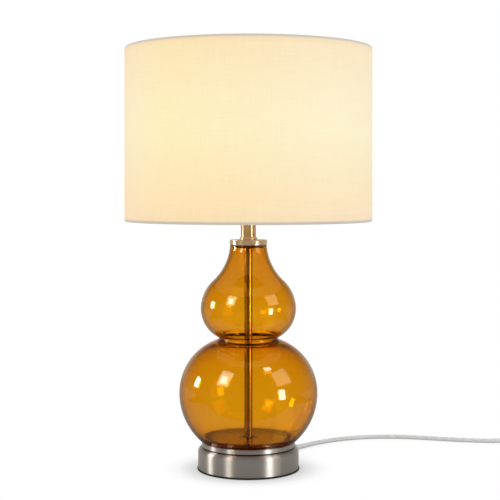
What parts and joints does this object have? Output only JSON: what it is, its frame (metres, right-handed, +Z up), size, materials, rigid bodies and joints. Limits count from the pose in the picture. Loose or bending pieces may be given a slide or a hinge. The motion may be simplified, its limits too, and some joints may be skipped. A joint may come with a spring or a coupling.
{
  "type": "double gourd table lamp",
  "caption": "Table lamp with an amber glass double gourd body on a weighted round metal base, a cylindrical fabric shade on a three-armed carrier, and a mains lead with an in-line rocker switch",
  "frame": {"origin": "middle of the base's underside, on the table", "axes": "+Z up, +X to the right and +Y to the back as the lamp is seen from the front; the lead leaves at the back right"},
  "size_m": [0.6672, 0.3983, 0.51],
  "materials": {
    "felt_pad": "black felt, matte",
    "satin_metal": "satin nickel, fine brushed",
    "plated_steel": "zinc plated",
    "rod_metal": "satin nickel tube",
    "weight_iron": "rough cast",
    "clear_gasket": "dark, smooth",
    "amber_glass": "clear amber, polished",
    "holder_plastic": "white, moulded",
    "contact_brass": "bright",
    "black_glass": "black insulator, glossy",
    "bulb_metal": "rolled, bright",
    "opal_glass": "opal, satin, lit from within",
    "white_wire": "white, satin",
    "shade_liner": "white translucent sheet",
    "shade_fabric": "fine cream linen weave",
    "clear_lead": "clear flexible plastic",
    "core_insulation": "insulated conductors",
    "tie_plastic": "plain band",
    "switch_plastic": "off-white, moulded",
    "pin_metal": "nickel plated",
    "sleeve_plastic": "black sleeve"
  },
  "bodies": {
    "lamp": {"base_pad": "felt_pad", "base_shell": "satin_metal", "base_weight": "weight_iron", "bottom_plate": "plated_steel", "bulb_cap": "bulb_metal", "bulb_contact": "contact_brass", "bulb_globe": "opal_glass", "bulb_insulator": "black_glass", "centre_rod": "rod_metal", "coil_tie": "tie_plastic", "cord_bush": "clear_lead", "cord_coil": "clear_lead", "cord_lead": "clear_lead", "cord_link": "clear_lead", "cord_tail": "clear_lead", "glass_body": "amber_glass", "glass_grommet": "clear_gasket", "glass_seat": "satin_metal", "inner_lead": "clear_lead", "lampholder_base": "holder_plastic", "lampholder_contacts": "contact_brass", "lampholder_insert": "holder_plastic", "lampholder_skirt": "holder_plastic", "lead_cores": "core_insulation", "lower_gasket": "clear_gasket", "lower_nut": "plated_steel", "lower_washer": "plated_steel", "neck_collar": "satin_metal", "neck_tube": "satin_metal", "pin_sleeves": "sleeve_plastic", "plug_body": "switch_plastic", "plug_pins": "pin_metal", "shade_carrier": "white_wire", "shade_fabric": "shade_fabric", "shade_liner": "shade_liner", "shade_ring": "holder_plastic", "shade_top_hoop": "white_wire", "switch_base": "switch_plastic", "switch_contacts": "contact_brass", "switch_cover": "switch_plastic", "switch_screws": "plated_steel", "terminal_screws": "contact_brass", "top_cap": "satin_metal", "upper_gasket": "clear_gasket"},
    "rocker": {"switch_rocker": "switch_plastic"}
  },
  "joints": [
    {"name": "rocker_tilt", "type": "hinge", "parent": "lamp", "child": "rocker", "pos_m": [0.393, 0.153, 0.0108], "axis": [0, -1, 0], "range_deg": [0, 20]}
  ]
}
